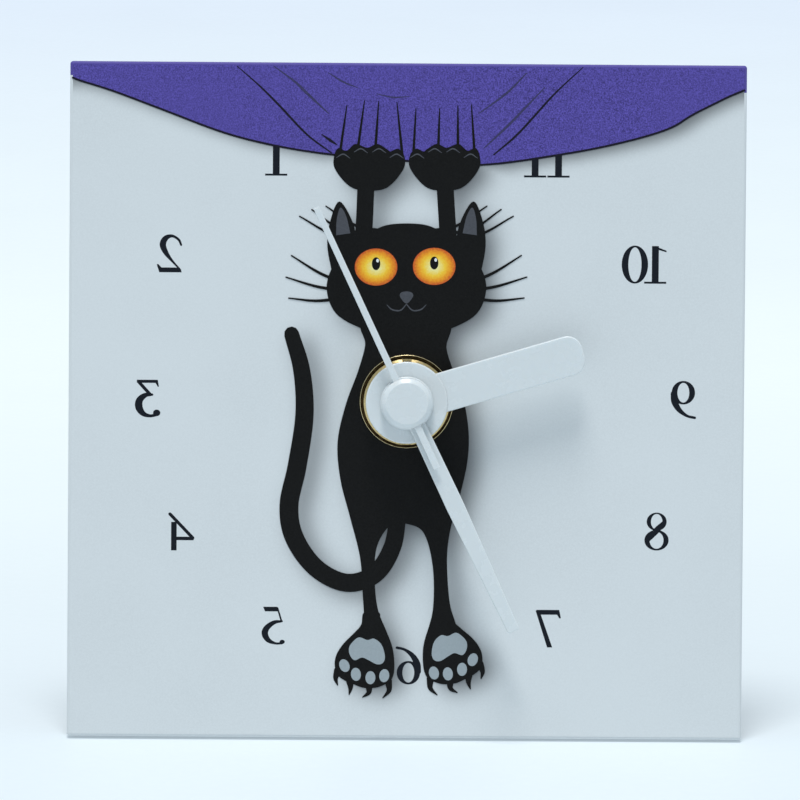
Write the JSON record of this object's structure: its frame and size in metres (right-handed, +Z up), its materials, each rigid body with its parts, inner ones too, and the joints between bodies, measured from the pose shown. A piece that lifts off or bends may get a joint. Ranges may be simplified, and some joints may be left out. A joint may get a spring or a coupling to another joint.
{
  "type": "desk clock",
  "caption": "Small square desk clock with a mirror-reading dial on a quartz movement: hands, gear train, stepping motor, AA cell and bent-strip stand",
  "frame": {"origin": "on the table under the middle of the clock's width and depth", "axes": "X runs to the viewer's right, Z up, and -Y towards the viewer; the dial leans back 8 degrees about X"},
  "size_m": [0.1, 0.05, 0.0994],
  "materials": {
    "gloss_board": "hardboard with a smooth gloss white printed face",
    "washer_brass": "polished brass",
    "nut_brass": "polished brass",
    "bush_brass": "turned brass",
    "black_rubber": "matt black rubber",
    "stand_paint": "satin black paint on bent steel strip",
    "case_plastic": "matt black plastic",
    "plate_plastic": "grey moulded plastic",
    "cover_plastic": "matt black plastic",
    "hanger_steel": "bright steel",
    "rivet_aluminium": "plain aluminium",
    "contact_steel": "nickel-plated strip",
    "board_resin": "green resin board",
    "chip_resin": "black epoxy",
    "crystal_can": "bright drawn can",
    "bobbin_plastic": "natural plastic",
    "winding_wire": "enamelled copper wire",
    "soft_iron": "annealed iron sheet",
    "screw_steel": "plated steel",
    "bridge_plastic": "dark grey plastic",
    "cell_wrap": "plain dark grey wrapped cell",
    "cell_metal": "nickel-plated steel",
    "magnet": "grey magnet",
    "gear_plastic": "natural acetal",
    "arbor_steel": "ground steel",
    "wheel_brass": "stamped brass",
    "spring_brass": "sprung brass",
    "hand_plastic": "gloss white plastic",
    "knob_plastic": "matt dark grey plastic"
  },
  "bodies": {
    "frame": {"dial_panel": "gloss_board", "brass_washer": "washer_brass", "round_nut": "nut_brass", "threaded_bush": "bush_brass", "rubber_washer": "black_rubber", "desk_stand": "stand_paint", "front_case": "case_plastic", "post_plate": "plate_plastic", "rear_cover": "cover_plastic", "hanger_tab": "hanger_steel", "hanger_rivets": "rivet_aluminium", "contact_positive": "contact_steel", "contact_negative": "contact_steel", "circuit_board": "board_resin", "chip_cover": "chip_resin", "quartz_crystal": "crystal_can", "coil_bobbin": "bobbin_plastic", "coil_winding": "winding_wire", "coil_core": "soft_iron", "stator_plate": "soft_iron", "core_screws": "screw_steel", "train_bridge": "bridge_plastic", "bridge_screws": "screw_steel"},
    "battery": {"battery_can": "cell_wrap", "battery_cap": "cell_metal"},
    "rotor": {"rotor_magnet": "magnet", "rotor_pinion": "gear_plastic"},
    "fifth": {"fifth_wheel": "gear_plastic"},
    "seconds": {"seconds_wheel": "gear_plastic", "seconds_arbor": "arbor_steel", "second_hand": "hand_plastic"},
    "third": {"third_wheel": "gear_plastic"},
    "centre": {"centre_wheel": "wheel_brass"},
    "minute": {"cannon_pinion": "gear_plastic", "clutch_spring": "spring_brass", "minute_hand": "hand_plastic"},
    "minute_wheel": {"minute_wheel": "gear_plastic"},
    "hour": {"hour_wheel": "gear_plastic", "hour_hand": "hand_plastic"},
    "setting": {"setting_pinion": "gear_plastic", "setting_knob": "knob_plastic"}
  },
  "joints": [
    {"name": "seconds_spin", "type": "hinge", "parent": "frame", "child": "seconds", "pos_m": [0, -0.0019, 0.04808], "axis": [0, -0.9903, 0.1392], "continuous": true},
    {"name": "fifth_spin", "type": "hinge", "parent": "frame", "child": "fifth", "pos_m": [-0.00063, 0.00009, 0.05504], "axis": [0, -0.9903, 0.1392], "continuous": true},
    {"name": "rotor_spin", "type": "hinge", "parent": "frame", "child": "rotor", "pos_m": [0.00217, 0.00245, 0.05961], "axis": [0, -0.9903, 0.1392], "continuous": true},
    {"name": "third_spin", "type": "hinge", "parent": "frame", "child": "third", "pos_m": [0.00677, -0.00284, 0.0507], "axis": [0, -0.9903, 0.1392], "continuous": true},
    {"name": "centre_spin", "type": "hinge", "parent": "frame", "child": "centre", "pos_m": [0, -0.00467, 0.04847], "axis": [0, -0.9903, 0.1392], "continuous": true},
    {"name": "minute_spin", "type": "hinge", "parent": "frame", "child": "minute", "pos_m": [0, -0.00566, 0.04861], "axis": [0, -0.9903, 0.1392], "continuous": true},
    {"name": "minute_wheel_spin", "type": "hinge", "parent": "frame", "child": "minute_wheel", "pos_m": [-0.00709, -0.00559, 0.04986], "axis": [0, -0.9903, 0.1392], "continuous": true},
    {"name": "hour_spin", "type": "hinge", "parent": "frame", "child": "hour", "pos_m": [0, -0.00705, 0.0488], "axis": [0, -0.9903, 0.1392], "continuous": true},
    {"name": "setting_spin", "type": "hinge", "parent": "frame", "child": "setting", "pos_m": [-0.01386, -0.00593, 0.04742], "axis": [0, -0.9903, 0.1392], "continuous": true},
    {"name": "battery_slide", "type": "slide", "parent": "frame", "child": "battery", "axis": [0, 0.9903, -0.1392], "range_m": [0, 0.02]}
  ],
  "couplings": [
    {"joint": "fifth_spin", "follows": "seconds_spin", "ratio": -5},
    {"joint": "rotor_spin", "follows": "seconds_spin", "ratio": 30},
    {"joint": "third_spin", "follows": "seconds_spin", "ratio": -0.13333},
    {"joint": "centre_spin", "follows": "seconds_spin", "ratio": 0.016667},
    {"joint": "minute_wheel_spin", "follows": "minute_spin", "ratio": -0.33333},
    {"joint": "hour_spin", "follows": "minute_spin", "ratio": 0.083333},
    {"joint": "setting_spin", "follows": "minute_spin", "ratio": 1}
  ]
}
